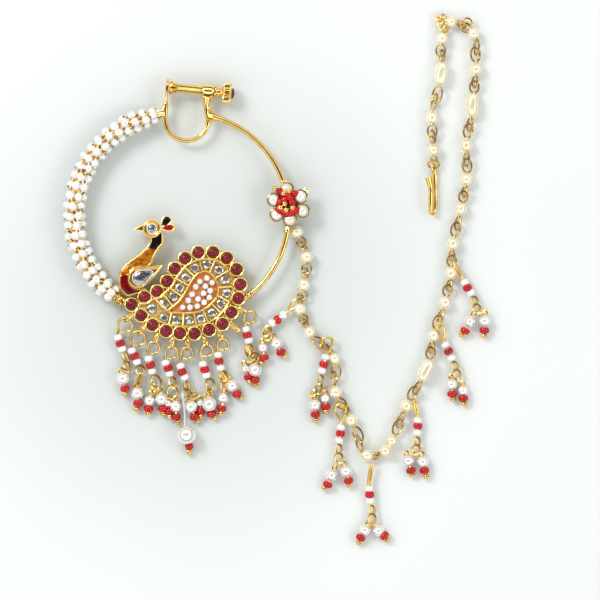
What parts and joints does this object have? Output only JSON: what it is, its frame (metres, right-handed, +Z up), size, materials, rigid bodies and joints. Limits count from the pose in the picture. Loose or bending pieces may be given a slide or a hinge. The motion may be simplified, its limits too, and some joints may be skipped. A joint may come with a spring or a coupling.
{
  "type": "nath nose ring",
  "caption": "Clip-on nath nose ring with a hoop, pearl sleeve, screw clamp, peacock and paisley plate with drops, a flower, and a pearl chain ending in a hair hook.",
  "frame": {"origin": "middle of the footprint, on the surface that the nath lies on", "axes": "+X to the right of the hoop towards the chain, +Y up the hoop towards the clamp, +Z up"},
  "size_m": [0.1068, 0.132, 0.0071],
  "materials": {
    "gold": "polished warm gold plate",
    "copper": "satin orange gold floor",
    "pearl": "pearl lustre",
    "ruby": "polished cabochon",
    "crystal": "cut and foil backed",
    "orange_enamel": "flecked translucent enamel",
    "black_enamel": "gloss",
    "red_enamel": "gloss"
  },
  "bodies": {
    "nath": {"hoop_frame": "gold", "pendant_plate": "gold", "flower_setting": "gold", "hair_hook": "gold", "pearl_sleeve": "pearl", "centre_drop": "pearl", "chain_lower": "pearl", "chain_upper": "pearl", "plate_dangle_1": "pearl", "plate_dangle_2": "pearl", "plate_dangle_3": "pearl", "plate_dangle_4": "pearl", "plate_dangle_5": "pearl", "plate_dangle_6": "pearl", "plate_dangle_7": "pearl", "plate_dangle_8": "pearl", "chain_dangle_1": "pearl", "chain_dangle_2": "pearl", "chain_dangle_3": "pearl", "chain_dangle_4": "pearl", "chain_dangle_5": "pearl", "chain_dangle_6": "pearl", "chain_dangle_7": "pearl", "ruby_01": "ruby", "ruby_02": "ruby", "ruby_03": "ruby", "ruby_04": "ruby", "ruby_05": "ruby", "ruby_06": "ruby", "ruby_07": "ruby", "ruby_08": "ruby", "ruby_09": "ruby", "ruby_10": "ruby", "ruby_11": "ruby", "ruby_12": "ruby", "ruby_13": "ruby", "ruby_14": "ruby", "ruby_15": "ruby", "ruby_16": "ruby", "ruby_17": "ruby", "ruby_18": "ruby", "ruby_19": "ruby", "ruby_20": "ruby", "crystal_ring": "crystal", "eye_stone": "crystal", "wing_stone": "crystal", "tray_floor": "copper", "neck_band": "black_enamel", "crest_drop": "black_enamel", "neck_enamel": "orange_enamel", "belly_enamel": "red_enamel", "crest_leaf": "red_enamel", "flower_centre": "red_enamel"},
    "pad_body": {"clamp_pad": "gold"},
    "screw_body": {"clamp_screw": "gold", "knob_stone": "red_enamel"}
  },
  "joints": [
    {"name": "screw_travel", "type": "slide", "parent": "nath", "child": "pad_body", "axis": [0.9952, -0.0976, 0], "range_m": [0, 0.006]},
    {"name": "knob_turn", "type": "hinge", "parent": "pad_body", "child": "screw_body", "pos_m": [-0.0269, 0.0481, 0.00303], "axis": [0.9952, -0.0976, 0], "range_deg": [0, 3600]}
  ],
  "couplings": [
    {"joint": "knob_turn", "follows": "screw_travel", "rad_per_m": 10472}
  ]
}
